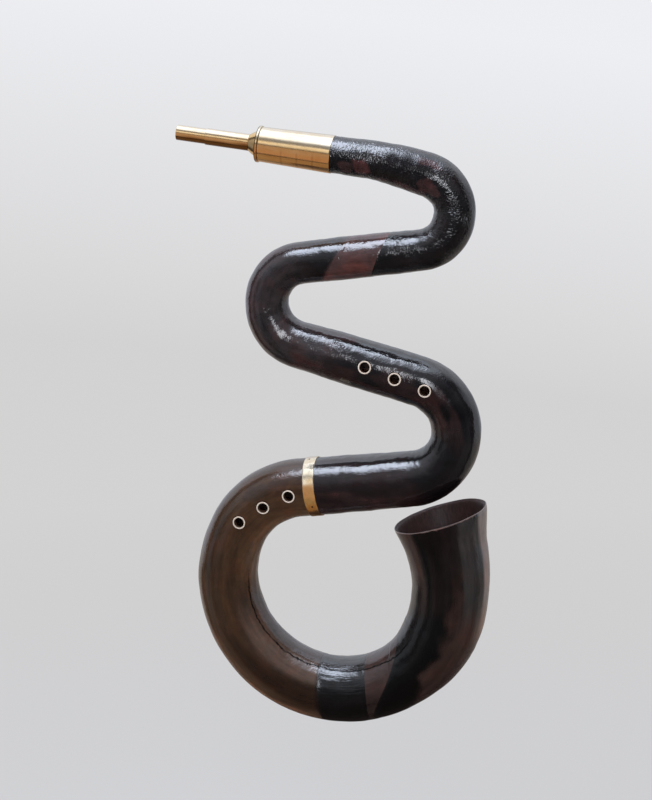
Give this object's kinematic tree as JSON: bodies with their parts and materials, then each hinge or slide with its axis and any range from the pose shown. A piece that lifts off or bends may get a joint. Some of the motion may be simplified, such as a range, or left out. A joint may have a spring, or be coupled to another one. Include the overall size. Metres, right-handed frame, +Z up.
{
  "type": "serpent bass horn",
  "caption": "Leather-covered wooden serpent with a winding conical tube, bone-bushed finger holes, brass socket and joint band, and a short brass mouthpipe with a tuning slide.",
  "frame": {"origin": "where a wall peg carries the horn: on the underside of the tube at the start of the first bend, in the middle plane of the tube", "axes": "+Z up, +X from the mouthpipe towards the side of the bell, -Y the front with the finger holes"},
  "size_m": [0.4245, 0.1264, 0.8167],
  "materials": {
    "walnut": "varnished walnut, reddish brown inside the bell",
    "black_leather": "glossy varnished black-brown leather with fine wrinkles",
    "brown_leather": "glossy varnished brown leather",
    "red_leather": "glossy varnished red-brown leather",
    "bone": "smooth cream bone",
    "brass": "polished brass with fine scratches",
    "thread": "waxed linen thread"
  },
  "bodies": {
    "horn": {"wood_neck_front": "walnut", "wood_neck_back": "walnut", "wood_second_bend_front": "walnut", "wood_second_bend_back": "walnut", "wood_third_bend_front": "walnut", "wood_third_bend_back": "walnut", "wood_shoulder_front": "walnut", "wood_shoulder_back": "walnut", "wood_loop_front": "walnut", "wood_loop_back": "walnut", "wood_corner_front": "walnut", "wood_corner_back": "walnut", "wood_bell_front": "walnut", "wood_bell_back": "walnut", "cover_neck": "black_leather", "cover_patch": "red_leather", "cover_middle": "black_leather", "cover_shoulder": "brown_leather", "cover_black_wrap": "black_leather", "cover_stripe": "brown_leather", "cover_corner": "black_leather", "cover_bell": "black_leather", "finger_bush_1": "bone", "finger_bush_2": "bone", "finger_bush_3": "bone", "finger_bush_4": "bone", "finger_bush_5": "bone", "finger_bush_6": "bone", "joint_band": "brass", "socket_sleeve": "brass", "socket_rim": "brass"},
    "lapping": {"tenon_lapping": "thread"},
    "crook": {"crook_cap": "brass", "crook_tube": "brass"},
    "tuning_slide": {"slide_tube": "brass"}
  },
  "joints": [
    {"name": "crook_pull", "type": "slide", "parent": "horn", "child": "lapping", "axis": [-0.9945, 0, 0.1045], "range_m": [0, 0.034]},
    {"name": "crook_turn", "type": "hinge", "parent": "lapping", "child": "crook", "pos_m": [-0.21206, 0, 0.05855], "axis": [-0.9945, 0, 0.1045], "continuous": true},
    {"name": "tuning_slide", "type": "slide", "parent": "crook", "child": "tuning_slide", "axis": [-0.9945, 0, 0.1045], "range_m": [-0.015, 0.02]}
  ]
}
